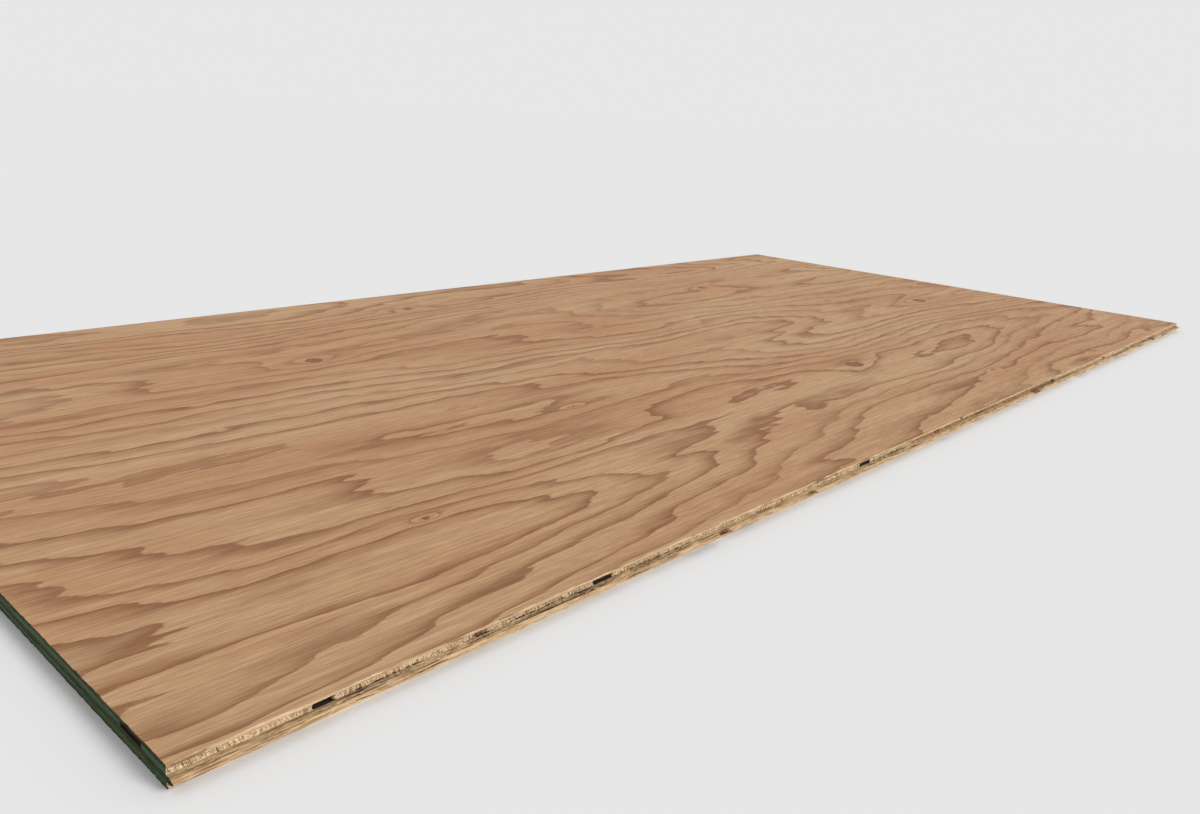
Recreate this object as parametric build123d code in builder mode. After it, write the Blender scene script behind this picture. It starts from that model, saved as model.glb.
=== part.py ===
"""A 4 by 8 foot sheet of five-ply softwood plywood with tongue and groove long edges, in millimetres.

X runs along the sheet from its painted end, Y across it from the tongue edge to the groove edge, and Z up
from the back. The origin is at the middle of the outline, level with the underside of the back veneer.
Grain runs along X in the face, centre and back plies and along Y in the two crossbands.
"""

import os
from math import radians, tan

from build123d import *

# Outline of the sheet, where the covering width leaves the tongue out
sheet_length = 2438.0
covering_width = 1206.5

# Thickness of each ply, from the back up
back_thickness = 3.0
lower_crossband_thickness = 4.2
centre_thickness = 4.2
upper_crossband_thickness = 4.4
face_thickness = 2.5

# Tongue, which takes in the whole centre ply and the top of the lower crossband
tongue_reach = 8.5
tongue_below_centre_ply = 1.6
tongue_taper_length = 5.5
tongue_taper_angle = 7.0
tongue_nose_thickness = 1.3

# Groove, cut to the tongue's outline with room on every side
groove_side_clearance = 0.25
groove_extra_depth = 1.0

# Joints between the strips of each crossband: place along the sheet, then the core gap that is left
# between the two strips at the tongue edge and at the groove edge. Tight joints have no gap. A place
# along the sheet is its distance from the painted end, or below zero its distance from the far end.
upper_crossband_joints = [
    (404.0, 24.0, 5.0),
    (1030.0, 0.0, 0.0),
    (-853.0, 14.0, 30.0),
    (-358.0, 0.0, 0.0),
]
lower_crossband_joints = [
    (262.0, 0.0, 0.0),
    (548.0, 48.0, 9.0),
    (-1148.0, 0.0, 0.0),
    (-708.0, 26.0, 12.0),
]

# Knotholes that the saw opened: the middle's place along the sheet and its distance in from the shoulder
# of the tongue edge, then the length along the sheet and the width across it
upper_crossband_knotholes = [
    (112.0, 3.0, 17.0, 30.0),
    (3.0, 52.0, 22.0, 32.0),
    (900.0, 2.0, 26.0, 44.0),
]
lower_crossband_knotholes = [
    (-1310.0, 4.0, 22.0, 38.0),
    (-426.0, 1.0, 30.0, 48.0),
]

# Heights of the glue lines above the back
lower_crossband_bottom = back_thickness
centre_bottom = lower_crossband_bottom + lower_crossband_thickness
upper_crossband_bottom = centre_bottom + centre_thickness
face_bottom = upper_crossband_bottom + upper_crossband_thickness
sheet_thickness = face_bottom + face_thickness

# Places along X and Y, with the outline centred on the origin
painted_end = -sheet_length / 2
far_end = sheet_length / 2
tongue_tip = -(covering_width + tongue_reach) / 2
shoulder = tongue_tip + tongue_reach
groove_edge = shoulder + covering_width

# The tongue's height at its root
tongue_bottom = centre_bottom - tongue_below_centre_ply
tongue_top = upper_crossband_bottom

end_plane = Plane.YZ.offset(painted_end)


def place_along(distance):
    """X of a place that is given from the painted end, or below zero from the far end."""
    return painted_end + distance if distance >= 0 else far_end + distance


def joint_outline(root, reach, clearance):
    """Section of the tongue, or with a clearance of the groove, pointing to -Y from its root."""
    taper = tongue_taper_length * tan(radians(tongue_taper_angle))
    middle = (tongue_bottom + tongue_top) / 2
    half_nose = tongue_nose_thickness / 2 + clearance
    bottom = tongue_bottom - clearance
    top = tongue_top + clearance
    bevel_start = root - tongue_taper_length
    nose = root - reach
    return [
        (root, bottom),
        (bevel_start, bottom + taper),
        (nose, middle - half_nose),
        (nose, middle + half_nose),
        (bevel_start, top - taper),
        (root, top),
    ]


def groove_outline():
    """Section of the groove, which runs in from the groove edge."""
    depth = tongue_reach + groove_extra_depth
    points = joint_outline(0, depth, groove_side_clearance)
    return [(groove_edge + y, z) for y, z in points]


def strip_plan(near_side, far_side):
    """Corners of a strip, each side given as its X at the tongue tip and its X at the groove edge."""
    return [
        (near_side[0], tongue_tip),
        (far_side[0], tongue_tip),
        (far_side[1], groove_edge),
        (near_side[1], groove_edge),
    ]


def strip_plans(joints):
    """Plans of a crossband's strips, laid side by side from the painted end to the far end."""
    plans = []
    near_side = (painted_end, painted_end)
    for distance, tongue_gap, groove_gap in joints:
        joint = place_along(distance)
        plans.append(strip_plan(near_side, (joint - tongue_gap / 2, joint - groove_gap / 2)))
        near_side = (joint + tongue_gap / 2, joint + groove_gap / 2)
    plans.append(strip_plan(near_side, (far_end, far_end)))
    return plans


def make_veneer(name, bottom, thickness, plan, knotholes=()):
    """Build one piece of veneer: the sheet's section in its layer, cut to its plan, less its knotholes."""
    with BuildPart() as veneer:
        with BuildSketch(end_plane):
            with Locations((shoulder, 0)):
                Rectangle(covering_width, sheet_thickness, align=(Align.MIN, Align.MIN))
            with BuildLine():
                Polyline(*joint_outline(shoulder, tongue_reach, 0), close=True)
            make_face()
            with BuildLine():
                Polyline(*groove_outline(), close=True)
            make_face(mode=Mode.SUBTRACT)
            with Locations((tongue_tip, bottom)):
                Rectangle(
                    covering_width + tongue_reach,
                    thickness,
                    align=(Align.MIN, Align.MIN),
                    mode=Mode.INTERSECT,
                )
        extrude(amount=sheet_length)
        with BuildSketch(Plane.XY.offset(bottom)):
            with BuildLine():
                Polyline(*plan, close=True)
            make_face()
        extrude(amount=thickness, mode=Mode.INTERSECT)
        for along, inward, length, width in knotholes:
            with BuildSketch(Plane.XY.offset(bottom)):
                with Locations((place_along(along), shoulder + inward)):
                    Ellipse(length / 2, width / 2)
            extrude(amount=thickness, mode=Mode.SUBTRACT)
    veneer.part.label = name
    export_step(veneer.part, f"parts/{name}.step")


def make_crossband(name, bottom, thickness, joints, knotholes):
    """Build a crossband's strips, numbered from the painted end."""
    for number, plan in enumerate(strip_plans(joints), start=1):
        make_veneer(f"{name}_{number}", bottom, thickness, plan, knotholes)


os.makedirs("parts", exist_ok=True)
whole_sheet = strip_plan((painted_end, painted_end), (far_end, far_end))

make_veneer("back_veneer", 0, back_thickness, whole_sheet)
make_crossband(
    "lower_crossband",
    lower_crossband_bottom,
    lower_crossband_thickness,
    lower_crossband_joints,
    lower_crossband_knotholes,
)
make_veneer("centre_ply", centre_bottom, centre_thickness, whole_sheet)
make_crossband(
    "upper_crossband",
    upper_crossband_bottom,
    upper_crossband_thickness,
    upper_crossband_joints,
    upper_crossband_knotholes,
)
make_veneer("face_veneer", face_bottom, face_thickness, whole_sheet)
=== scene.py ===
"""Looks of a tongue and groove plywood sheet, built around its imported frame.

X runs along the sheet from its near painted end, Y across it from the tongue edge to the groove edge and
Z up. Each ply or strip of veneer is a closed mesh: a wall of fine columns round its edge, between two flat
faces. Frame coordinates are in metres; relief and wood grain are worked out in millimetres.
"""

import math

import bpy
import numpy as np
from mathutils import Matrix, Vector


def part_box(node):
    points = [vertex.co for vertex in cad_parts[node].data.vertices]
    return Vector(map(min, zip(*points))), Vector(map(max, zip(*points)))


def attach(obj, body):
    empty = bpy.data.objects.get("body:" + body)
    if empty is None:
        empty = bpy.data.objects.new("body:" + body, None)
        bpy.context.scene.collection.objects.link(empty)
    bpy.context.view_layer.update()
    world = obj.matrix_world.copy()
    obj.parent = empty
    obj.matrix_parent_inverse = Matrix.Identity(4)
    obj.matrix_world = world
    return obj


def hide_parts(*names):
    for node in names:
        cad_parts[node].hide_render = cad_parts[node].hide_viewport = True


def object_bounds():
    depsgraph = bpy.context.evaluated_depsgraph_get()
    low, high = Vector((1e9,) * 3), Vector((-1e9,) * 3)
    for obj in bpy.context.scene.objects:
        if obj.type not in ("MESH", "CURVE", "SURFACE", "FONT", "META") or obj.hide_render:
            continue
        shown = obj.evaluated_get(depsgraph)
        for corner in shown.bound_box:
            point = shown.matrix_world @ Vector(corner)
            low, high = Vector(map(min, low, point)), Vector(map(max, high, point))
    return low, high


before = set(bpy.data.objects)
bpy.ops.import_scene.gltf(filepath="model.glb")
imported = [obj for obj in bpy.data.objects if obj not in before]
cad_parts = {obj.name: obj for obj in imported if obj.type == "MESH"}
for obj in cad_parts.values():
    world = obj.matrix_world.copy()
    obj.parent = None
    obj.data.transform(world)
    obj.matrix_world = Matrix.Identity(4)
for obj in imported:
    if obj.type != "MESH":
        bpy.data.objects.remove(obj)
cad_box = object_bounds()

# Places in the frame in metres, and the tongue's length in mm
MM = 0.001
PAINTED_END, FAR_END = cad_box[0].x, cad_box[1].x
TONGUE_TIP = cad_box[0].y
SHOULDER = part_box("face_veneer")[0].y
GROOVE_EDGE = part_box("face_veneer")[1].y
BEHIND_GROOVE = GROOVE_EDGE - 10 * MM
TONGUE_REACH = (SHOULDER - TONGUE_TIP) / MM
PLIES_ON_GLUE = ("lower_crossband_1", "centre_ply", "upper_crossband_1", "face_veneer")
GLUE_LINES = [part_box(node)[0].z for node in PLIES_ON_GLUE]
SAME_PLACE = 0.1 * MM

# Spacing in mm of each layer's columns along the tongue edge, and of its rows where the tongue faces up or
# out. The flat faces are cut into rungs, and the groove edge has one column for each.
COLUMN_STEP = {"face": 0.8, "upper": 0.4, "centre": 1.0, "lower": 0.5, "back": 0.8}
ROW_STEP = {"face": 0.6, "upper": 0.55, "centre": 0.75, "lower": 0.55, "back": 0.7}
COLUMNS_PER_RUNG = 2

# Spacing in mm of the columns across the sheet's ends, and of the rows in the groove and under the tongue
END_STEP = 1.5
SHELTERED_ROW_STEP = 1.2
HIDDEN_SIDE_COLUMNS = 40

# How far relief may move a row towards the top or bottom of its ply, as a share of the way there, the height
# in mm beside a glue line where it dies out, and the turn in degrees from which an edge is drawn sharp
ROW_SLACK = 0.3
FLUSH_HEIGHT = 0.5
SHARP_ANGLE = 38

# Knotholes that the saw opened, as in the solids: place along the sheet from the painted end, or below zero
# from the far end, distance in from the shoulder, length and width
KNOTHOLES = {
    "upper_crossband_1": [(112, 3, 17, 30), (3, 52, 22, 32)],
    "upper_crossband_2": [(900, 2, 26, 44)],
    "lower_crossband_3": [(-1310, 4, 22, 38)],
    "lower_crossband_5": [(-426, 1, 30, 48)],
}

# Distance in mm between the two columns at each side of a knothole, which make its wall steep
STEEP_STEP = 0.02

# Knots that show on the tongue edge: place along the sheet, half length, and how deep the wood is torn out
EDGE_KNOTS = {
    "face": [(1195, 10, 0.4)],
    "upper": [(256, 10, 0.8), (1112, 10, 1.4), (1262, 26, 0.8), (1880, 12, 0.9)],
    "centre": [(1490, 16, 0.9), (2210, 12, 0.8)],
    "lower": [(1405, 12, 1.0), (1960, 20, 1.2)],
    "back": [(640, 14, 0.5), (1760, 18, 0.6)],
}

# Where a knot's rim of bark is, as a share of its half length
KNOT_RIM = 0.85

# Relief, darkness and nibbled arrises on ends and hidden sides, as shares of those on the long edges
END_RELIEF = 0.7
END_DARKNESS = 0.6
END_NIBBLES = 0.4

# Painted shade on the walls of knotholes and of core gaps: how dark it makes them
HOLE_DARKNESS = 1.4
GAP_DARKNESS = 0.5

# How ragged the sides of knotholes and core gaps are, the width from which a gap's sides are that ragged,
# and how far along the edge the columns beside such a side follow it, all in mm
RAGGED_SIDE = 1.3
OPEN_GAP = 10
FOLLOWING = 2.5

# Painted shade on the tongue's upper slope, with some burnish from the cutter: how much darker the slope is
# than its nose, and the height in mm where it starts
SLOPE_DARKNESS = 0.3
SLOPE_START = 10.3

# Tears in the corner between the upper crossband and the tongue's upper slope, in mm: their stretches from
# the painted end and the taper at each end of them, their depth, and how far they reach down the slope and
# up the crossband. Their darkening, strongest in the corner, is partly torn wood and partly painted shade
TORN_STRETCHES = [(122, 205), (236, 540), (905, 1010), (1180, 1225), (1455, 1790), (2015, 2250)]
TEAR_TAPER = 14
TEAR_DEPTH = 1.3
TEAR_DOWN = 4.2
TEAR_UP = 0.6

# Bites broken out of the tongue: place along the sheet, half length, depth, and how dark the break is
TONGUE_BITES = [
    (134, 23, 3.4, 0.0),
    (448, 24, 2.8, 0.45),
    (587, 12, 6.4, 0.95),
    (761, 12, 5.4, 0.7),
    (1236, 15, 3.6, 0.2),
    (1690, 24, 4.2, 0.0),
    (2102, 12, 5.6, 0.5),
]

# Slivers of wood: rings of four points along each, thickness as a share of the width, and sideways bend as a
# share of the length
SLIVER_RINGS = 4
SLIVER_FLATNESS = 0.45
SLIVER_BEND = 0.06

# Corners of a square round the origin, for a sliver's rings and the floor
SQUARE = ((-1, -1), (1, -1), (1, 1), (-1, 1))


def scatter(i, j, seed):
    """A repeatable random number from 0 to 1 for each pair of whole numbers, from their mixed bits."""
    n = i.astype(np.int64) * 374761393 + j.astype(np.int64) * 668265263 + seed * 974634777
    n = (n ^ (n >> 13)) * 1274126177
    n = n ^ (n >> 16)
    return (n & 0xFFFFFF) / 0xFFFFFF


def smooth(t):
    """Ease from 0 to 1 as t goes from 0 to 1."""
    t = np.clip(t, 0, 1)
    return t * t * (3 - 2 * t)


def noise(u, v, seed):
    """Smooth random field from 0 to 1, whose features are about 1 wide."""
    i, j = np.floor(u), np.floor(v)
    a, b = smooth(u - i), smooth(v - j)
    bottom = scatter(i, j, seed) * (1 - a) + scatter(i + 1, j, seed) * a
    top = scatter(i, j + 1, seed) * (1 - a) + scatter(i + 1, j + 1, seed) * a
    return bottom * (1 - b) + top * b


def lathe_checks(u, w, height, spacing, half_width, seed):
    """Cracks from 0 to 1 that lean one way from the ply's loose side, one in each cell of the spacing."""
    lean = 0.3 if seed % 2 else -0.3
    place = (u + lean * w + 1.3 * noise(u / 6, w / 3, seed)) / spacing
    cell = np.floor(place)
    row = np.zeros_like(cell)
    centre = cell + 0.25 + 0.5 * scatter(cell, row, seed + 1)
    strength = np.clip(scatter(cell, row, seed + 2) * 1.7 - 0.3, 0, 1)
    width = half_width * (0.7 + 0.8 * scatter(cell, row, seed + 3)) / spacing
    reach = 0.4 + 0.7 * scatter(cell, row, seed + 4)
    opening = smooth(1 - np.abs(place - centre) / width)
    return opening * strength * smooth((reach - w / height) * 4 + 0.5)


def end_grain(u, w, height, seed):
    """Depth in mm and darkness of sawn end grain: cracks and torn bundles of fibre, softer in earlywood."""
    wide = lathe_checks(u, w, height, 4.6, 0.45, seed)
    narrow = lathe_checks(u, w, height, 2.1, 0.34, seed + 20)
    strokes = noise(u / 0.55 + w * 0.1, w / 2.6, seed + 11)
    rings = noise(u / 70, w / 1.5 + 2.5 * noise(u / 130, w / 50, seed + 8), seed + 9)
    bundles = noise(u / 1.7 + w * 0.4, w / 1.1, seed + 5)
    fuzz = noise(u / 0.8, w / 0.7, seed + 6)
    swell = noise(u / 24, w / 9, seed + 7)
    torn = smooth((noise(u / 5, w / 2.2, seed + 10) - 0.62) * 5)
    depth = 0.9 * wide + 0.45 * narrow + 0.3 * rings + 0.3 * bundles
    depth += 0.15 * fuzz + 0.3 * swell + 0.4 * torn + 0.28 * strokes
    darkness = 0.85 * wide + 0.7 * narrow + 0.2 * smooth((bundles - 0.5) * 3) + 0.1 * rings
    darkness += 0.25 * torn + 0.22 * smooth((strokes - 0.45) * 2.5)
    return depth, np.minimum(darkness, 0.8)


def side_grain(u, w, seed):
    """Depth in mm and darkness of a face cut along the grain: fine streaks, with splinters torn out."""
    streaks = noise(u / 55, w / 0.6, seed)
    fine = noise(u / 8, w / 0.7, seed + 1)
    torn = smooth((noise(u / 24, w / 1.0, seed + 2) - 0.7) * 5)
    swell = noise(u / 80, w / 8, seed + 3)
    gouges = smooth((noise(u / 60, w / 0.9, seed + 4) - 0.78) * 9)
    fuzz = noise(u / 1.7, w / 0.65, seed + 5)
    depth = 0.1 * streaks + 0.08 * fine + 0.45 * torn + 0.5 * gouges + 0.15 * swell + 0.12 * fuzz
    darkness = 0.45 * torn + 0.7 * gouges + 0.15 * fine + 0.15 * streaks
    darkness += 0.16 * smooth((fuzz - 0.4) * 2)
    return depth, darkness


def knots_in_wall(u, w, height, knots, seed):
    """Depth, darkness and knot colour where a wall cuts through knots."""
    depth, darkness, stain = np.zeros((3, *u.shape))
    for number, (along, half_length, torn) in enumerate(knots):
        key = seed + 50 * number
        across = (u - place_along(along) / MM) / half_length
        upward = (w / height - 0.5) * 1.1
        radius = np.hypot(across, upward) + 0.55 * (noise(u / 5, w / 2.2, key) - 0.5)
        radius += 0.3 * (noise(u / 1.5, w / 1.1, key + 1) - 0.5)
        core = smooth((KNOT_RIM - radius) / 0.3)
        halo = smooth((1.6 - radius) / 1.0)
        bark = smooth(1 - np.abs(radius - KNOT_RIM) / 0.14)
        pits = smooth((noise(u / 2.4, w / 1.5, key + 2) - 0.42) * 4) * core
        depth += torn * (0.25 * core + 0.85 * pits)
        darkness = np.maximum(darkness, 0.8 * pits + 0.5 * bark)
        stain = np.maximum(stain, 0.7 * core + 0.3 * halo)
    return depth, darkness, stain


def tear(u, from_corner, reach):
    """Depth in mm and darkness of the tears in the corner above the tongue, up to reach in mm from it; the
    darkness is partly painted shade in that corner.
    """
    x = u - PAINTED_END / MM
    stretch = np.zeros_like(u)
    for start, end in TORN_STRETCHES:
        stretch = np.maximum(stretch, smooth((x - start) / TEAR_TAPER) * smooth((end - x) / TEAR_TAPER))
    ragged = reach * (0.25 + 0.9 * noise(u / 5.5, 0 * u, 96)) * (0.4 + 0.6 * stretch)
    mask = stretch * smooth((noise(u / 26, 0 * u, 97) - 0.22) * 4)
    mask *= smooth((1.15 - from_corner / ragged) * 2.2)
    pits = smooth((noise(u / 2.1, from_corner / 0.9, 98) - 0.32) * 3.2)
    return TEAR_DEPTH * mask * (0.3 + 0.7 * pits), mask * (0.3 + 0.45 * pits)


def nibbled_arris(u, from_arris, seed):
    """How far from 0 to 1 an outer arris of the sheet is nibbled away, by distance from it in mm."""
    bites = smooth((noise(u / 9, 0 * u, seed) - 0.5) * 2.5)
    bites *= 0.4 + 0.6 * noise(u / 2.2, 0 * u, seed + 1)
    return bites * smooth(1 - from_arris / 0.9)


def flush_at_glue(depth, u, w, side, outer):
    """Bring the depth of the relief in mm to the same small depth on both sides of a glue line."""
    below_top = w[0, -1] - w
    from_glue = {"top": w, "bottom": below_top}.get(outer, np.minimum(w, below_top))
    flush = smooth(1 - from_glue / FLUSH_HEIGHT)
    shared = 0.1 + 0.3 * noise(u / 7, 0 * u + side, 90)
    return depth * (1 - flush) + shared * flush


def glue_line_wave(x, y, line):
    """How far in mm a glue line rises there, which is the same for the plies above and below it."""
    slow = noise(x / 75, y / 75, 2 * line + 70) - 0.5
    quick = noise(x / 15, y / 15, 2 * line + 71) - 0.5
    return 0.6 * slow + 0.3 * quick


def place_along(distance):
    """X of a place given in mm from the painted end, or below zero from the far end."""
    return (PAINTED_END if distance >= 0 else FAR_END) + distance * MM


def outline(node, side):
    """Heights and Y of a node's section at the tongue edge, side -1, or the groove edge, side 1."""
    reach = {}
    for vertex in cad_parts[node].data.vertices:
        height, y = round(vertex.co.z, 6), vertex.co.y
        if y * side > reach.get(height, 0) * side:
            reach[height] = y
    heights = sorted(reach)
    return np.array(heights), np.array([reach[h] for h in heights])


def strip_ends(node, side):
    """Lowest and highest X of a node at the tongue edge, side -1, or the groove edge, side 1."""
    limit = SHOULDER + SAME_PLACE if side < 0 else BEHIND_GROOVE
    xs = [v.co.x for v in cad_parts[node].data.vertices if (v.co.y - limit) * side > 0]
    return min(xs), max(xs)


def gap_beside(node, k):
    """Width in mm of the core gap between a strip and the next one on side k, at the tongue edge."""
    layer, number = node.rsplit("_", 1)
    step = 1 if k == 1 else -1
    own, other = strip_ends(node, -1), strip_ends(f"{layer}_{int(number) + step}", -1)
    return (max(own[0], other[0]) - min(own[1], other[1])) / MM


def row_heights(tongue, groove, step):
    """Heights of the wall's rows, which are close enough together on both of its outlines."""
    corners = sorted(set(tongue[0]) | set(groove[0]))
    rows = [corners[0]]
    for low, high in zip(corners, corners[1:]):
        runs = [np.interp(high, *line) - np.interp(low, *line) for line in (tongue, groove)]
        faces_down = runs[0] < -SAME_PLACE
        steps = (SHELTERED_ROW_STEP if faces_down else step, SHELTERED_ROW_STEP)
        needed = [math.hypot(high - low, run) / MM / spacing for run, spacing in zip(runs, steps)]
        count = math.ceil(max(needed))
        rows += [low + (high - low) * (k + 1) / count for k in range(count)]
    return np.array(rows)


def hole_depth(offset, inward, length, width):
    """How far a knothole reaches in at that offset along the edge from its middle."""
    rise = 1 - (offset / (length / 2 * MM)) ** 2
    depth = inward * MM + width / 2 * MM * np.sqrt(np.clip(rise, 0, 1))
    return np.where(rise > 0, depth, 0)


class Wall:
    """The edge of a veneer as columns of points, anticlockwise from above.

    The columns run along the tongue edge, side 0, then over the far end, the groove edge and the near end.
    Where a strip meets another strip instead of the sheet's end, its side is hidden and has few columns.
    """

    def __init__(self, node):
        self.node, self.layer = node, node.split("_")[0]
        holes = KNOTHOLES.get(node, [])
        self.end_holes = [hole for hole in holes if abs(hole[0]) < hole[2] / 2]
        self.edge_holes = [hole for hole in holes if hole not in self.end_holes]
        tongue, groove = outline(node, -1), outline(node, 1)
        self.heights = row_heights(tongue, groove, ROW_STEP[self.layer])
        self.profiles = [np.interp(self.heights, *line) for line in (tongue, groove)]
        self.lay_out_columns()
        self.points = self.flat.copy()
        self.bend_glue_lines()
        self.darkness, self.stain = np.zeros((2, *self.flat.shape[:2]))

    def lay_out_columns(self):
        """Place the columns of the four sides on the veneer's flat outline."""
        # X of the near and the far side, each at the tongue edge and at the groove edge
        near, far = zip(strip_ends(self.node, -1), strip_ends(self.node, 1))
        self.is_end = {1: abs(far[0] - FAR_END) < MM, 3: abs(near[0] - PAINTED_END) < MM}
        self.rungs = max(2, round((far[0] - near[0]) / MM / COLUMN_STEP[self.layer] / COLUMNS_PER_RUNG))
        end_columns = round((GROOVE_EDGE - SHOULDER) / MM / END_STEP)
        counts = {k: end_columns if self.is_end[k] else HIDDEN_SIDE_COLUMNS for k in (1, 3)}
        far_v = np.linspace(0, 1, counts[1] + 1)[1:-1]
        near_v = np.linspace(1, 0, counts[3] + 1)[1:-1]
        sides_x = [
            self.snap_to_holes(np.linspace(near[0], far[0], self.rungs * COLUMNS_PER_RUNG + 1)),
            far[0] + (far[1] - far[0]) * far_v,
            np.linspace(far[1], near[1], self.rungs + 1),
            near[0] + (near[1] - near[0]) * near_v,
        ]
        self.start = np.cumsum([0] + [len(xs) for xs in sides_x])
        self.side = np.repeat([0, 1, 2, 3], np.diff(self.start))

        across = np.concatenate([0 * sides_x[0], far_v, 0 * sides_x[2] + 1, near_v])[:, None]
        x = np.concatenate(sides_x)[:, None] + 0 * self.heights
        y = self.profiles[0] * (1 - across) + self.profiles[1] * across
        self.flat = np.stack([x, y, self.heights + 0 * x], -1)

    def snap_to_holes(self, xs):
        """Move the columns nearest to each knothole's two sides onto them, so that its walls are steep."""
        for along, inward, length, width in self.edge_holes:
            half = length / 2 * math.sqrt(1 - (inward / (width / 2)) ** 2) * MM
            for side in (-1, 1):
                edge = place_along(along) + side * half
                k = int(np.abs(xs - edge).argmin())
                xs[k] = edge
                xs[k - side] = edge - side * STEEP_STEP * MM
        return xs

    def bend_glue_lines(self):
        """Let the glue lines above and below the ply rise and fall, shared out over the rows."""
        share = (self.heights - self.heights[0]) / (self.heights[-1] - self.heights[0])
        for height, weight in ((self.heights[0], 1 - share), (self.heights[-1], share)):
            for line, level in enumerate(GLUE_LINES):
                if abs(level - height) < SAME_PLACE:
                    wave = glue_line_wave(self.flat[..., 0] / MM, self.flat[..., 1] / MM, line)
                    self.points[..., 2] += wave * MM * weight

    def columns(self, k):
        """Columns of one side. The corner columns belong to the long edges, and the ends share them."""
        shared = k % 2
        return np.arange(self.start[k] - shared, self.start[k + 1] + shared) % len(self.side)

    def face_place(self, k):
        """Distance along one side, and up its own surface, in mm."""
        columns = self.columns(k)
        along = self.flat[columns, :, k % 2] / MM
        line = self.profiles[k // 2] if k in (0, 2) else 0 * self.heights
        steps = np.hypot(np.diff(line), np.diff(self.heights)) / MM
        up = np.concatenate([[0], np.cumsum(steps)])
        return along, np.repeat(up[None], len(columns), 0)

    def sink_edge(self, k, depth, up):
        """Move a long edge's points into the wood, square to it but not past the ply's top or bottom."""
        columns = self.columns(k)
        outward = -1 if k == 0 else 1
        run = np.gradient(self.profiles[k // 2], up[0] * MM)
        rise = np.gradient(self.heights, up[0] * MM)
        below = ROW_SLACK * (self.heights - self.heights[0])
        above = ROW_SLACK * (self.heights[-1] - self.heights)
        below[-1] = above[0] = 0
        self.points[columns, :, 1] -= depth * outward * rise
        self.points[columns, :, 2] += np.clip(depth * outward * run, -below, above)

    def sink_end(self, k, depth):
        """Move an end's points into the wood. The long edges' columns near its two corners follow."""
        columns = self.columns(k)
        move = depth if k == 3 else -depth
        self.points[columns[1:-1], :, 0] += move[1:-1]
        for corner, edge in ((0, k - 1), (-1, (k + 1) % 4)):
            self.pull_along(edge, self.flat[columns[corner], 0, 0], move[corner])

    def pull_along(self, k, place, move):
        """Move the columns of one long edge along it, by less the farther they are from a place."""
        columns = self.columns(k)
        distance = (self.flat[columns, :, 0] - place) / MM
        self.points[columns, :, 0] += move * np.exp(-((distance / FOLLOWING) ** 2))

    def mark(self, columns, darkness, stain=0.0):
        """Darken and stain some columns, where they aren't darker or more stained already."""
        self.darkness[columns] = np.maximum(self.darkness[columns], darkness)
        self.stain[columns] = np.maximum(self.stain[columns], stain)

    def open_holes(self):
        """Set the wall back round the knotholes."""
        for along, inward, length, width in self.edge_holes:
            reach = hole_depth(self.flat[:, 0, 0] - place_along(along), inward, length, width)
            self.set_back(1, (self.side == 0) & (reach > 0), SHOULDER + reach)
        for along, inward, length, width in self.end_holes:
            reach = hole_depth(self.flat[:, 0, 1] - SHOULDER - inward * MM, along, width, length)
            self.set_back(0, (self.side == 3) & (reach > 0), PAINTED_END + reach)

    def set_back(self, axis, inside, place):
        """Move the columns inside a knothole back to a place along an axis, and darken them with painted
        shade.
        """
        self.points[inside, :, axis] = np.maximum(self.points[inside, :, axis], place[inside, None])
        self.darkness[inside] = HOLE_DARKNESS

    def fray_holes(self, seed):
        """Make the two sides of each knothole uneven from the bottom of the ply to its top."""
        up = self.face_place(0)[1][0]
        for along, _, length, _ in self.edge_holes:
            for side in (-1, 1):
                key = seed + 7 * side + int(abs(along))
                uneven = noise(up / 1.7, 0 * up, key) - 0.5
                uneven += 0.6 * (noise(up / 0.6, 0 * up, key + 1) - 0.5)
                place = place_along(along) + side * length / 2 * MM
                self.pull_along(0, place, 2 * RAGGED_SIDE * MM * uneven)

    def break_tongue(self, seed):
        """Take the bites out of the tongue, and leave ragged wood behind them."""
        columns = self.columns(0)
        u, w = self.face_place(0)
        for along, half_length, bite, dark in TONGUE_BITES:
            lens = np.clip(1 - ((u - place_along(along) / MM) / half_length) ** 2, 0, 1) ** 0.7
            ragged = 0.75 + 0.25 * noise(u / 3, w / 1.3, seed)
            ragged += 0.3 * (noise(u / 14, w / 0.9, seed + 1) - 0.5)
            edge = TONGUE_TIP + bite * lens * ragged * MM
            broken = (lens > 0) & (edge > self.points[columns, :, 1])
            self.points[columns, :, 1] = np.where(broken, edge, self.points[columns, :, 1])
            pits = smooth((noise(u / 4, w / 1.2, seed + 2) - 0.4) * 3)
            self.mark(columns, broken * (0.25 + 0.6 * dark) * pits, broken * dark * lens)

    def faces(self):
        """Quads of the wall, and the flat top and bottom as rungs across the sheet."""
        rows, total = len(self.heights), len(self.points)
        column, row = np.arange(total)[:, None], np.arange(rows - 1)[None]
        low, after = column * rows + row, (column + 1) % total * rows + row
        quads = np.stack([low, after, after + 1, low + 1], -1).reshape(-1, 4).tolist()

        # The first rung of the flat faces is wide enough to take in a knothole in the painted end
        first_rung = 1
        if self.end_holes:
            deepest = max(along + length / 2 for along, _, length, _ in self.end_holes) * MM
            rung_step = self.flat[COLUMNS_PER_RUNG, 0, 0] - self.flat[0, 0, 0]
            first_rung = math.ceil(deepest / rung_step) + 2
        stops = [0, *range(first_rung, self.rungs), self.rungs]
        flats = []
        for near, far in zip(stops, stops[1:]):
            loop = list(range(near * COLUMNS_PER_RUNG, far * COLUMNS_PER_RUNG + 1))
            if far == self.rungs:
                loop += range(self.start[1], self.start[2])
            loop += range(self.start[2] + self.rungs - far, self.start[2] + self.rungs - near + 1)
            if near == 0:
                loop += range(self.start[3], self.start[4])
            flats.append([c * rows + rows - 1 for c in loop])
            flats.append([c * rows for c in reversed(loop)])
        return quads, flats

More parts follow.
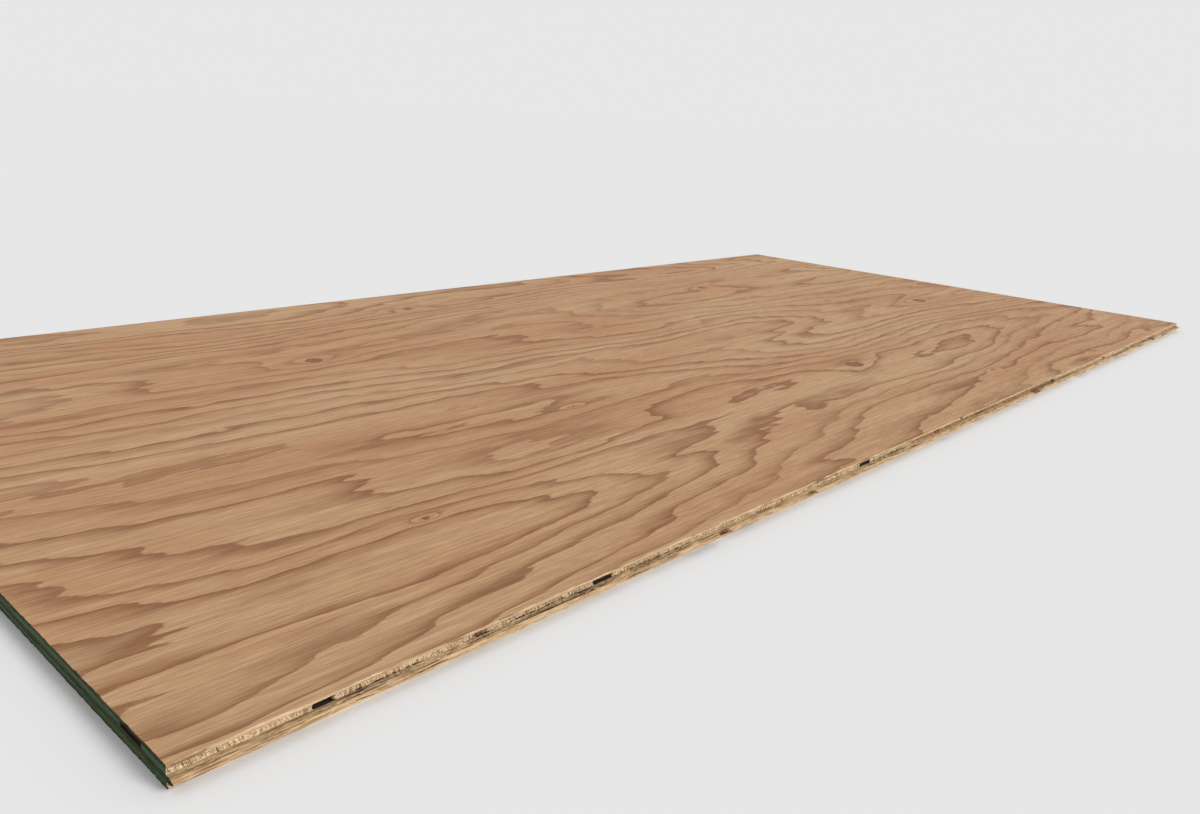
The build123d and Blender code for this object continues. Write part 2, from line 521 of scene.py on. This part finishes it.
    def painted(self):
        """For each quad of the wall, 1 where it is on one of the sheet's painted ends and 0 elsewhere."""
        on_end = sum((self.side == k) * self.is_end[k] for k in (1, 3))
        return np.repeat(on_end, len(self.heights) - 1)


def new_piece(name, vertices, faces, materials, face_materials=None, smooth_faces=0):
    """Make a mesh object with its materials. Its first smooth_faces are smooth but for sharp edges."""
    mesh = bpy.data.meshes.new(name)
    mesh.from_pydata(vertices, [], faces)
    for material in materials:
        mesh.materials.append(material)
    if face_materials is not None:
        mesh.polygons.foreach_set("material_index", face_materials)
    mesh.set_sharp_from_angle(angle=math.radians(SHARP_ANGLE))
    mesh.polygons.foreach_set("use_smooth", [k < smooth_faces for k in range(len(faces))])
    mesh.update()
    piece = bpy.data.objects.new(name, mesh)
    bpy.context.scene.collection.objects.link(piece)
    return piece


def add_attribute(piece, name, values, wall_quads, top=0.0, bottom=0.0):
    """Store one number for each corner of the wall's quads, and one each for the flat top and bottom."""
    mesh, rows = piece.data, values.shape[1]
    corners = np.zeros(len(mesh.loops), int)
    mesh.loops.foreach_get("vertex_index", corners)
    numbers = values.ravel()[corners].astype(np.float32)
    on_top = corners[4 * wall_quads:] % rows == rows - 1
    numbers[4 * wall_quads:] = np.where(on_top, top, bottom)
    mesh.attributes.new(name, "FLOAT", "CORNER").data.foreach_set("value", numbers)


def carve_side(wall, k, kind, seed, knots, arris, outer):
    """Give one side of a veneer its relief, darkness and stains."""
    u, w = wall.face_place(k)
    height, stain = w[0, -1], 0.0
    on_long_edge = k in (0, 2)
    if (kind == "cross") == on_long_edge:
        depth, dark = end_grain(u, w, height, seed)
    else:
        depth, dark = side_grain(u, w, seed)
    if not on_long_edge:
        depth, dark = depth * END_RELIEF, dark * END_DARKNESS
        if not wall.is_end[k]:
            ragged = min(gap_beside(wall.node, k) / OPEN_GAP, 1.0) * RAGGED_SIDE
            depth = depth + ragged * noise(0 * u, w / 1.6, seed + 3)
            # The sides facing a core gap get painted shade
            dark = dark + GAP_DARKNESS
    if k == 0:
        torn, torn_dark, stain = knots_in_wall(u, w, height, knots, seed)
        depth, dark = depth + torn, np.maximum(dark, torn_dark)
        # The upper slope of the centre ply's tongue gets painted shade, with some burnish from the cutter
        if wall.layer == "centre":
            dark = dark + SLOPE_DARKNESS * smooth((wall.heights / MM - SLOPE_START) / 0.6)
    if outer:
        from_arris = np.abs(w - (height if outer == "top" else 0))
        share = 1.0 if on_long_edge else END_NIBBLES
        depth = depth + arris * share * nibbled_arris(u, from_arris, seed + 9)
    depth = flush_at_glue(depth, u, w, k, outer)
    # Tears in the corner above the tongue, whose darkening is partly painted shade
    if k == 0 and wall.layer in ("centre", "upper"):
        torn, torn_dark = tear(u, height - w, TEAR_DOWN) if wall.layer == "centre" else tear(u, w, TEAR_UP)
        depth, dark = depth + torn, np.maximum(dark, torn_dark)
    wall.mark(wall.columns(k), dark, stain)
    if on_long_edge:
        wall.sink_edge(k, depth * MM, w)
    else:
        wall.sink_end(k, depth * MM)


def veneer(node, kind, seed, wood, sealer, knots, arris=0.0, outer=None):
    """Build one ply or strip of veneer in place of its solid.

    kind is "long" for grain along the sheet and "cross" for grain across it. outer is "top" or "bottom" for
    the face veneer and the back veneer, whose outer arris is nibbled to a depth of arris in mm.
    """
    wall = Wall(node)
    for k in range(4):
        carve_side(wall, k, kind, seed * 17 + k * 5, knots, arris, outer)
    wall.break_tongue(seed)
    wall.open_holes()
    wall.fray_holes(seed)

    quads, flats = wall.faces()
    face_materials = np.append(wall.painted(), np.zeros(len(flats), int))
    vertices, materials = wall.points.reshape(-1, 3), [wood, sealer]
    piece = new_piece(f"{node}_wood", vertices, quads + flats, materials, face_materials, len(quads))
    glued_top, glued_bottom = float(outer != "top"), float(outer != "bottom")
    glue = np.zeros_like(wall.darkness)
    glue[:, 0], glue[:, -1] = glued_bottom, glued_top
    fields = {"darkness": wall.darkness, "stain": wall.stain, "glue": glue, "sawn": np.ones_like(glue)}
    for name, values in fields.items():
        add_attribute(piece, name, values, len(quads))
    add_attribute(piece, "glued", 0 * glue, len(quads), glued_top, glued_bottom)
    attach(piece, "root")
    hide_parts(node)


def linear(red, green, blue):
    """A colour written as screen values from 0 to 255, as the shader's linear values."""
    def channel(value):
        value /= 255
        return value / 12.92 if value <= 0.04045 else ((value + 0.055) / 1.055) ** 2.4

    return (channel(red), channel(green), channel(blue), 1.0)


def blend(a, b, share):
    """Colour part of the way from a to b."""
    return tuple(p * (1 - share) + q * share for p, q in zip(a, b))


class Shader:
    """The node tree of a new material or world, with a method for each kind of node that it uses."""

    # A Mix node's inputs for the factor and the two colours, and its output for their mix
    MIX_INPUTS, MIX_OUTPUT = (0, 6, 7), 2

    def __init__(self, name, kind="materials"):
        self.owner = getattr(bpy.data, kind).new(name)
        self.owner.use_nodes = True
        self.tree = self.owner.node_tree

    def plug(self, value, socket):
        """Link another node's output to a socket, or set a number or colour on it."""
        if isinstance(value, bpy.types.NodeSocket):
            self.tree.links.new(value, socket)
        else:
            socket.default_value = value

    def node(self, kind, values=(), **settings):
        """A new node with these settings, and with these values on its first sockets."""
        made = self.tree.nodes.new(kind)
        for key, value in settings.items():
            setattr(made, key, value)
        for value, socket in zip(values, made.inputs):
            self.plug(value, socket)
        return made

    def math(self, operation, *values):
        return self.node("ShaderNodeMath", values, operation=operation).outputs[0]

    def add(self, *terms):
        total = terms[0]
        for term in terms[1:]:
            total = self.math("ADD", total, term)
        return total

    def times(self, a, b):
        return self.math("MULTIPLY", a, b)

    def ease(self, value, low, high, start=0.0, end=1.0):
        """Go smoothly from start to end as the value goes from low to high."""
        values = (value, low, high, start, end)
        return self.node("ShaderNodeMapRange", values, interpolation_type="SMOOTHSTEP").outputs[0]

    def vector(self, x, y, z):
        return self.node("ShaderNodeCombineXYZ", (x, y, z)).outputs[0]

    def place(self):
        """X, Y and Z of the shaded point, in mm."""
        position = self.node("ShaderNodeTexCoord").outputs["Object"]
        axes = self.node("ShaderNodeSeparateXYZ", [position]).outputs
        return [self.times(axis, 1 / MM) for axis in axes]

    def noise(self, vector, detail=2.0, roughness=0.5):
        """Noise from 0 to 1, whose broadest features are about 1 wide."""
        made = self.node("ShaderNodeTexNoise")
        sockets = {"Vector": vector, "Scale": 1.0, "Detail": detail, "Roughness": roughness}
        for name, value in sockets.items():
            self.plug(value, made.inputs[name])
        return made.outputs["Fac"]

    def stretched(self, point, sizes, seed, detail=2.0, roughness=0.5):
        """Noise whose features have these sizes in mm along X, Y and Z."""
        parts = []
        for k, (axis, size) in enumerate(zip(point, sizes)):
            parts.append(self.math("MULTIPLY_ADD", axis, 1 / size, seed * 7.31 + 3 * k))
        return self.noise(self.vector(*parts), detail, roughness)

    def mix(self, factor, a, b, blend_type="MIX"):
        """Colour a, changed by colour b as far as the factor says."""
        made = self.node("ShaderNodeMix", data_type="RGBA", blend_type=blend_type)
        for value, number in zip((factor, a, b), self.MIX_INPUTS):
            self.plug(value, made.inputs[number])
        return made.outputs[self.MIX_OUTPUT]

    def paint(self, colour, tone, field, low, high, share=1.0, blend_type="MIX"):
        """Change a colour by a tone as the field goes from low to high, by the share at most."""
        return self.mix(self.ease(field, low, high, 0.0, share), colour, tone, blend_type)

    def ramp(self, value, stops):
        """Colour of the value on a ramp whose stops are (position, colour)."""
        made = self.node("ShaderNodeValToRGB", [value])
        elements = made.color_ramp.elements
        while len(elements) < len(stops):
            elements.new(0.5)
        for element, (position, colour) in zip(elements, stops):
            element.position = position
            element.color = colour
        return made.outputs[0]

    def attribute(self, name):
        """A number that the mesh stores at its corners."""
        return self.node("ShaderNodeAttribute", attribute_name=name).outputs["Fac"]

    def finish(self, colour, roughness, bumps=(), gloss=0.3):
        """Plug in the colour, the roughness and bumps given as (height, depth in mm)."""
        surface = self.tree.nodes["Principled BSDF"].inputs
        self.plug(colour, surface["Base Color"])
        self.plug(roughness, surface["Roughness"])
        surface["Specular IOR Level"].default_value = gloss
        normal = surface["Normal"]
        for height, depth in reversed(bumps):
            made = self.node("ShaderNodeBump")
            made.inputs["Strength"].default_value = 1.0
            made.inputs["Distance"].default_value = depth * MM
            self.plug(height, made.inputs["Height"])
            self.plug(made.outputs[0], normal)
            normal = made.inputs["Normal"]
        return self.owner


class Wood(Shader):
    """Rotary-cut softwood: growth rings of a peeled log, met at a shallow angle by the knife.

    grain is 0 for fibres along X and 1 along Y. Sizes are in mm. Each field of noise has its own key.
    """

    GIRTH = 1130.0
    ECCENTRICITY = 13.0
    TAPER = 7.0 / 1000

    def __init__(self, name, grain, seed):
        super().__init__(name)
        self.grain, self.seed = grain, seed
        self.point = self.place()
        self.ripple = self.field(1, (190, 42, 90), 2.0, 0.55)

    def field(self, key, sizes, detail=2.0, roughness=0.5):
        """Noise whose features have these sizes along the grain, across it and up."""
        length, width, height = sizes
        if self.grain == 1:
            length, width = width, length
        return self.stretched(self.point, (length, width, height), self.seed + key, detail, roughness)

    def plain_radius(self):
        """Radius in the log of the shaded point, as if the log had no knots.

        It swings as the log turns, because the log isn't round or centred, tapers along it, and wanders.
        """
        along, across, up = self.point[self.grain], self.point[1 - self.grain], self.point[2]
        girth = self.GIRTH + 60 * (self.seed % 5)
        turn = self.math("MULTIPLY_ADD", across, 2 * math.pi / girth, self.seed * 1.7)
        third_turn = self.math("MULTIPLY_ADD", across, 6 * math.pi / girth, self.seed * 2.9)
        wander = self.field(0, (900, 210, 400), 1.0)
        feather = self.field(2, (26, 3.2, 8), 3.0, 0.6)
        return self.add(
            self.times(self.math("COSINE", turn), self.ECCENTRICITY),
            self.times(self.math("COSINE", third_turn), self.ECCENTRICITY * 0.22),
            self.times(along, self.TAPER),
            self.times(wander, 26.0),
            self.times(self.ripple, 5.0),
            self.times(feather, 0.5),
            up,
        )

    def knot_distance(self, knot, stretch):
        """Distance from a knot's middle, drawn out along X and made uneven by the ripple."""
        x, y, size = knot
        along = self.times(self.add(self.point[0], -x), 1 / stretch)
        offset = self.vector(along, self.add(self.point[1], -y), 0.0)
        length = self.node("ShaderNodeVectorMath", [offset], operation="LENGTH").outputs["Value"]
        return self.add(length, self.times(self.ripple, size * 0.6), -size * 0.3)

    def push_rings(self, radius, knots, spacing):
        """Push the rings aside round the knots, and mark with 1 where each knot is."""
        knot_mark = 0.0
        for knot in knots:
            size = knot[2]
            near = self.math("DIVIDE", self.knot_distance(knot, 2.6), size * 2.4)
            pushed = self.math("EXPONENT", self.times(self.times(near, near), -1.0))
            radius = self.add(radius, self.times(pushed, spacing * 1.6))
            core = self.ease(self.knot_distance(knot, 1.15), size * 1.12, size * 0.9)
            knot_mark = self.math("MAXIMUM", core, knot_mark)
        return radius, knot_mark

    def growth_rings(self, in_rings, ring, early, late):
        """Colour from pale earlywood to dark latewood in each ring, weaker in some years."""
        midway = blend(early, late, 0.45)
        stops = [(0.0, late), (0.025, early), (0.48, early), (0.76, midway), (0.94, late)]
        year = self.noise(self.vector(self.math("FLOOR", in_rings), 3.3, self.seed), 0.0)
        return self.paint(self.ramp(ring, stops), early, year, 0.3, 0.7, 0.55)

    def fibrous(self, colour, fibres, fibre):
        """Fibres, bundles of them, the log's broad change of colour, resin flecks and fine open checks."""
        bundles = self.field(8, (240, 3.6, 3.6), 3.0, 0.62)
        patchy = self.field(4, (620, 130, 60))
        flecks = self.field(5, (11, 0.75, 0.75), 1.0)
        checks = self.field(9, (70, 0.9, 0.9), 1.0)
        colour = self.paint(colour, linear(120, 84, 54), fibres, 0.36, 0.66, fibre, "MULTIPLY")
        colour = self.paint(colour, linear(206, 172, 142), bundles, 0.34, 0.68, 0.42, "MULTIPLY")
        colour = self.paint(colour, linear(232, 186, 160), patchy, 0.38, 0.66, 0.34, "MULTIPLY")
        colour = self.paint(colour, linear(122, 82, 52), flecks, 0.70, 0.76, 0.45)
        return self.paint(colour, linear(92, 60, 40), checks, 0.735, 0.77, 0.75)

    def knotty(self, colour, knot_mark):
        """Brown knots with a dark ring of bark."""
        heart = self.field(6, (3.5, 3.5, 3.5), 3.0)
        wood = self.paint(linear(104, 62, 38), linear(160, 104, 68), heart, 0.38, 0.62)
        ringed = self.paint(linear(74, 44, 28), wood, knot_mark, 0.55, 1.0)
        return self.paint(colour, ringed, knot_mark, 0.0, 0.45)

    def sawn_end_grain(self, colour, on_edge):
        """Short dark strokes and broad clumps of them, where the saw cut across the fibres."""
        strokes = self.ease(self.field(10, (9.0, 0.65, 1.6), 3.0, 0.65), 0.44, 0.6, 0.0, 0.9)
        clumps = self.ease(self.field(11, (30.0, 3.2, 7.0), 2.0, 0.65), 0.4, 0.62, 0.0, 0.6)
        colour = self.mix(self.times(strokes, on_edge), colour, linear(160, 130, 84), "MULTIPLY")
        return self.mix(self.times(clumps, on_edge), colour, linear(198, 168, 124), "MULTIPLY")

    def sawn_side_grain(self, colour, on_edge):
        """Long fine streaks, where the saw cut along the fibres."""
        streaks = self.ease(self.field(10, (20.0, 5.0, 0.5), 3.0, 0.7), 0.44, 0.6, 0.0, 0.7)
        return self.mix(self.times(streaks, on_edge), colour, linear(186, 152, 112), "MULTIPLY")

    def marks_and_painted_shade(self, colour, fibres):
        """What the mesh knows: cut knots, torn and checked places, glue, and painted shade in deep holes,
        core gaps, the tongue's upper slope and the torn corner above it.
        """
        bark = self.field(7, (2.2, 2.2, 1.6), 3.0, 0.65)
        knot = self.paint(linear(82, 52, 34), linear(158, 108, 72), bark, 0.36, 0.66)
        colour = self.paint(colour, knot, self.attribute("stain"), 0.1, 0.9)
        darkness = self.attribute("darkness")
        # Frayed and torn wood, darkened by the darkness, which is partly painted shade
        fray_and_painted_shade = self.times(darkness, self.ease(fibres, 0.32, 0.68, 1.25, 0.75))
        colour = self.paint(colour, linear(70, 46, 28), fray_and_painted_shade, 0.15, 1.05, 0.9)
        # Painted shade, near black, where the darkness is deepest: in knotholes and core gaps
        colour = self.paint(colour, linear(24, 15, 10), darkness, 0.95, 1.3, 0.85)
        colour = self.paint(colour, linear(84, 54, 38), self.attribute("glue"), 0.6, 1.0, 0.4)
        return self.mix(self.times(self.attribute("glued"), 0.95), colour, linear(36, 23, 16))


def make_wood(name, grain, seed, early, late, sawn, spacing, knots=(), fibre=0.3, fresh=0.7):
    """A veneer's material. early, late and sawn are the colours of its earlywood, latewood and edges.

    spacing is from ring to ring in mm, knots are (x, y, size) in mm, fibre is how strongly single fibres
    show and fresh how far the edges have their own colour.
    """
    wood = Wood(name, grain, seed)
    radius, knot_mark = wood.push_rings(wood.plain_radius(), knots, spacing)
    in_rings = wood.math("DIVIDE", radius, spacing)
    ring = wood.math("FRACT", in_rings)
    fibres = wood.field(3, (38, 0.55, 0.55), 3.0, 0.7)
    colour = wood.growth_rings(in_rings, ring, early, late)
    colour = wood.fibrous(colour, fibres, fibre)
    if knots:
        colour = wood.knotty(colour, knot_mark)
    on_edge = wood.attribute("sawn")
    colour = wood.mix(wood.times(on_edge, fresh), colour, sawn)
    if grain == 1:
        colour = wood.sawn_end_grain(colour, on_edge)
    else:
        colour = wood.sawn_side_grain(colour, on_edge)
    colour = wood.marks_and_painted_shade(colour, fibres)
    roughness = wood.ease(fibres, 0.3, 0.7, 0.62, 0.82)
    return wood.finish(colour, roughness, [(fibres, 0.06), (ring, 0.035)])


def make_sealer(name, seed, coat, thin, bare, cover):
    """Green edge sealer brushed along the sawn end, thick and thin by turns.

    coat is its colour where it is thick, thin where the brush was nearly dry, and bare the wood that shows
    where it missed. cover is how well it hides the wood.
    """
    shader = Shader(name)
    point = shader.place()
    brushed = shader.stretched(point, (9, 110, 1.9), seed, 3.0, 0.6)
    bristles = shader.stretched(point, (4, 26, 0.45), seed + 1, 3.0, 0.7)
    grain = shader.stretched(point, (2.0, 1.1, 0.9), seed + 2, 3.0, 0.7)
    patches = shader.stretched(point, (9, 80, 7), seed + 3, 2.0)
    colour = shader.paint(coat, thin, brushed, 0.36, 0.62)
    colour = shader.paint(colour, blend(thin, bare, 0.5), bristles, 0.42, 0.62, 0.6)
    missed = shader.times(shader.ease(grain, 0.5, 0.72), shader.ease(patches, 0.42, 0.66))
    colour = shader.mix(shader.times(missed, 1 - cover), colour, bare)
    # Darkened where the mesh is dark: cracks in the end grain, and painted shade in the knothole in the end
    colour = shader.paint(colour, linear(14, 18, 9), shader.attribute("darkness"), 0.1, 0.8, 0.8)
    colour = shader.paint(colour, linear(12, 16, 8), shader.attribute("glue"), 0.6, 1.0, 0.75)
    roughness = shader.ease(bristles, 0.3, 0.7, 0.42, 0.7)
    return shader.finish(colour, roughness, [(bristles, 0.07), (grain, 0.05)], 0.14)


def make_splinter_wood(name, seed, pale, dark):
    """Fresh torn wood, streaked along its fibres."""
    shader = Shader(name)
    fibres = shader.stretched(shader.place(), (9, 0.6, 0.6), seed, 3.0, 0.65)
    colour = shader.paint(pale, dark, fibres, 0.35, 0.68)
    return shader.finish(colour, 0.75, [(fibres, 0.04)])


def unit(vectors):
    """The vectors, one a row, at length 1."""
    return vectors / np.linalg.norm(vectors, axis=1, keepdims=True)


def slivers(name, material, roots, ways, out, lengths, widths, lifts):
    """Join tapered slivers into one piece. Each leaves the wood at its root and bends outward to its tip.

    roots are their starts and ways their directions, one row each. Sizes are in mm.
    """
    t = np.linspace(0, 1, SLIVER_RINGS)[None, :, None]
    lengths, widths, lifts = (values[:, None, None] for values in (lengths, widths, lifts))
    across = np.cross(ways, out)[:, None]
    bend = SLIVER_BEND * lengths * t ** 2 * np.cos(roots[:, None, :1] * 2.3)
    spine = roots[:, None] + ways[:, None] * lengths * t + out[:, None] * lifts * t ** 1.8 + across * bend
    taper = widths / 2 * ((1 - t) ** 0.8 * (0.45 + 1.1 * t) + 0.04)
    ring = [spine + taper * (a * across + SLIVER_FLATNESS * b * out[:, None]) for a, b in SQUARE]
    points = np.clip(np.stack(ring, 2).reshape(-1, 3) * MM, cad_box[0], cad_box[1])

    faces = []
    for first in range(0, len(points), 4 * SLIVER_RINGS):
        last = first + 4 * (SLIVER_RINGS - 1)
        faces += [[first, first + 1, first + 2, first + 3], [last + 3, last + 2, last + 1, last]]
        for low in range(first, last, 4):
            for k, after in ((0, 1), (1, 2), (2, 3), (3, 0)):
                faces.append([low + k, low + 4 + k, low + 4 + after, low + after])
    piece = new_piece(name, points, faces, [material], smooth_faces=len(faces))
    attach(piece, "root")


def edge_slivers(name, material, seed, count, heights, inward, tilt, lengths, lifts):
    """Slivers of a long-grain ply, between two heights on the tongue edge and inward from the tongue's tip.

    tilt is how far they bend up for each unit that they bend outward. All sizes are in mm.
    """
    random = np.random.default_rng(seed)
    x = random.uniform(PAINTED_END / MM + lengths[1], FAR_END / MM - lengths[1], count)
    roots = np.stack([x, np.full(count, TONGUE_TIP / MM + inward), random.uniform(*heights, count)], 1)
    ways = random.normal(0, (0.0, 0.01, 0.02), (count, 3)) + random.choice([-1, 1], (count, 1)) * [1, 0, 0]
    out = unit(np.array([[0, -1, tilt]]) + random.normal(0, (0, 0.2, 0.2), (count, 3)))
    lengths = random.uniform(*lengths, count) * random.uniform(0.3, 1, count)
    widths = random.uniform(0.35, 0.8, count)
    lifts = random.uniform(*lifts, count)
    slivers(name, material, roots, unit(ways), out, lengths, widths, lifts)


def crossband_fibres(layer, material, seed, count, heights):
    """Short fibres that the saw left on a crossband's end grain, in patches, clear of gaps and knotholes."""
    random = np.random.default_rng(seed)
    x = random.uniform(PAINTED_END / MM, FAR_END / MM, 4 * count)
    x = x[noise(x / 30, 0 * x, seed) > 0.45][:count]
    solid = np.zeros(len(x), bool)
    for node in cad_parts:
        if node.startswith(layer):
            near, far = strip_ends(node, -1)
            solid |= (x > near / MM + 1) & (x < far / MM - 1)
            for along, _, length, _ in KNOTHOLES.get(node, []):
                solid &= np.abs(x - place_along(along) / MM) > length / 2 + 2
    x = x[solid]
    count = len(x)
    roots = np.stack([x, np.full(count, SHOULDER / MM + 0.9), random.uniform(*heights, count)], 1)
    ways = unit(np.array([[0, -1, -0.15]]) + random.normal(0, (0.45, 0, 0.35), (count, 3)))
    out = unit(np.cross(ways, random.normal(0, 1, (count, 3))))
    lengths = random.uniform(1.6, 3.6, count)
    widths = random.uniform(0.16, 0.34, count)
    lifts = random.uniform(0, 0.8, count)
    slivers(f"{layer}_fibres", material, roots, ways, out, lengths, widths, lifts)


# Colours of the wood's earlywood, latewood and edges: cream and tan long-grain plies, and crossbands from
# yellow sapwood to brown heartwood. The face veneer's earlywood and latewood carry painted shade, so that
# its flat top shows darker than its sawn edge
FACE = linear(206, 170, 130), linear(158, 114, 78), linear(228, 202, 166)
CENTRE = linear(206, 178, 132), linear(164, 126, 86), linear(221, 193, 152)
BACK = linear(224, 202, 164), linear(190, 156, 116), linear(240, 220, 182)
YELLOW = linear(226, 208, 162), linear(190, 164, 116), linear(252, 232, 198)
OLIVE = linear(212, 192, 146), linear(160, 136, 92), linear(247, 227, 188)
PINK = linear(214, 182, 148), linear(172, 130, 98), linear(244, 212, 180)
BROWN = linear(190, 152, 118), linear(140, 100, 70), linear(196, 160, 126)
STRIP_TONES = {
    "upper": [YELLOW, OLIVE, BROWN, YELLOW, PINK],
    "lower": [OLIVE, YELLOW, PINK, OLIVE, YELLOW],
}

# Knots in the face and the back: X, Y and size in mm
FACE_KNOTS = [
    (-612, 215, 11), (140, -330, 15), (540, 312, 9), (905, -90, 14),
    (-240, 470, 8), (-860, -395, 3), (-455, -210, 2.5), (330, -505, 3.5),
]
BACK_KNOTS = [(300, 200, 14), (-700, -250, 17), (-150, -480, 9), (820, 360, 12)]

# The sealer soaks into end grain and dries dark there, and lies bright on the crossbands' side grain. Both
# greens are darkened with painted shade, as on an end that lies in shadow
dark_sealer = make_sealer(
    "sealer_on_end_grain", 31, linear(30, 46, 20), linear(42, 44, 22), linear(62, 44, 26), cover=0.3
)
bright_sealer = make_sealer(
    "sealer_on_side_grain", 37, linear(34, 88, 38), linear(52, 76, 38), linear(86, 80, 44), cover=0.6
)

# Plies with their grain along the sheet
face_wood = make_wood("face_wood", 0, 3, *FACE, spacing=2.9, knots=FACE_KNOTS, fibre=0.44, fresh=0.72)
centre_wood = make_wood("centre_wood", 0, 8, *CENTRE, spacing=2.6, fibre=0.5, fresh=0.6)
back_wood = make_wood("back_wood", 0, 13, *BACK, spacing=3.0, knots=BACK_KNOTS)
veneer("face_veneer", "long", 2, face_wood, dark_sealer, EDGE_KNOTS["face"], arris=0.7, outer="top")
veneer("centre_ply", "long", 11, centre_wood, dark_sealer, EDGE_KNOTS["centre"])
veneer("back_veneer", "long", 5, back_wood, dark_sealer, EDGE_KNOTS["back"], arris=1.1, outer="bottom")

# Crossbands, strip by strip from the painted end
for layer, first_seed in (("upper", 20), ("lower", 41)):
    for number, tones in enumerate(STRIP_TONES[layer], start=1):
        seed = first_seed + number
        strip_wood = make_wood(f"{layer}_strip_{number}_wood", 1, seed, *tones, spacing=2.8, fibre=0.6)
        veneer(f"{layer}_crossband_{number}", "cross", seed, strip_wood, bright_sealer, EDGE_KNOTS[layer])

# Splinters: torn edges of the long-grain plies, and loose fibres on the crossbands' end grain
pale = make_splinter_wood("pale_splinter_wood", 60, linear(234, 210, 170), linear(194, 158, 114))
yellow = make_splinter_wood("crossband_splinter_wood", 61, linear(224, 204, 154), linear(170, 140, 96))
edge_slivers(
    "face_splinters", pale, seed=71, count=90, heights=(16.2, 18.0), inward=TONGUE_REACH + 0.5,
    tilt=0.1, lengths=(6, 34), lifts=(0.7, 1.8),
)
edge_slivers(
    "back_splinters", pale, seed=72, count=120, heights=(0.8, 2.6), inward=TONGUE_REACH + 0.5,
    tilt=-0.2, lengths=(8, 60), lifts=(0.8, 3.2),
)
edge_slivers(
    "tongue_splinters", pale, seed=73, count=110, heights=(9.6, 10.5), inward=TONGUE_REACH - 3.4,
    tilt=0.9, lengths=(6, 30), lifts=(1.2, 2.6),
)
crossband_fibres("upper_crossband", yellow, seed=74, count=1500, heights=(11.8, 15.5))
crossband_fibres("lower_crossband", yellow, seed=75, count=500, heights=(3.3, 5.4))

# Pale floor, just under the sheet
FLOOR_HALF = 60.0
FLOOR_GAP = 0.05 * MM

floor_paint = Shader("floor_paint").finish(linear(230, 230, 230), 0.9, gloss=0.0)
floor_corners = [(FLOOR_HALF * x, FLOOR_HALF * y, 0) for x, y in SQUARE]
floor = new_piece("floor", floor_corners, [(0, 1, 2, 3)], [floor_paint])
floor.location.z = cad_box[0].z - FLOOR_GAP

scene = bpy.context.scene
scene.view_settings.view_transform = "Standard"

# Even sky that lights the sheet, and a backdrop as pale as the lit floor for the camera and in reflections
SKY_STRENGTH = 0.62
BACKDROP = 0.8

studio = Shader("studio", "worlds")
sky = studio.node("ShaderNodeBackground", [(1.0, 1.0, 1.0, 1.0), SKY_STRENGTH]).outputs[0]
backdrop = studio.node("ShaderNodeBackground", [(BACKDROP, BACKDROP, BACKDROP, 1.0), 1.0]).outputs[0]
ray = studio.node("ShaderNodeLightPath").outputs
reflected = studio.math("MAXIMUM", ray["Is Glossy Ray"], ray["Is Transmission Ray"])
sees_backdrop = studio.math("MAXIMUM", ray["Is Camera Ray"], reflected)
seen = studio.node("ShaderNodeMixShader", [sees_backdrop, sky, backdrop]).outputs[0]
studio.plug(seen, studio.tree.nodes["World Output"].inputs["Surface"])
scene.world = studio.owner

# Soft key light that falls on the tongue edge, with its softness in degrees
KEY_STRENGTH = 2.2
KEY_SOFTNESS = 24.0
KEY_FROM = (0.5, -1.25, 0.9)

lamp = bpy.data.lights.new("key", "SUN")
lamp.energy = KEY_STRENGTH
lamp.angle = math.radians(KEY_SOFTNESS)
key = bpy.data.objects.new("key", lamp)
key.rotation_euler = Vector(KEY_FROM).to_track_quat("Z", "Y").to_euler()
scene.collection.objects.link(key)

# Camera, at the photograph's viewing angle
CAMERA_PLACE = (-1.4332, -1.1349, 0.4237)
CAMERA_RIGHT = Vector((0.67807, -0.73273, 0.05761))
CAMERA_FORWARD = Vector((0.71408, 0.63819, -0.28775))
FOCAL_PIXELS = 982.0
PHOTO_WIDTH = 1200.0

lens = bpy.data.cameras.new("camera")
lens.sensor_fit = "HORIZONTAL"
lens.lens = lens.sensor_width * FOCAL_PIXELS / PHOTO_WIDTH
lens.clip_start = 0.01
camera = bpy.data.objects.new("camera", lens)
right, forward = CAMERA_RIGHT.normalized(), CAMERA_FORWARD.normalized()
turn = Matrix((right, right.cross(forward), -forward)).transposed().to_4x4()
camera.matrix_world = Matrix.Translation(CAMERA_PLACE) @ turn
scene.collection.objects.link(camera)
scene.camera = camera
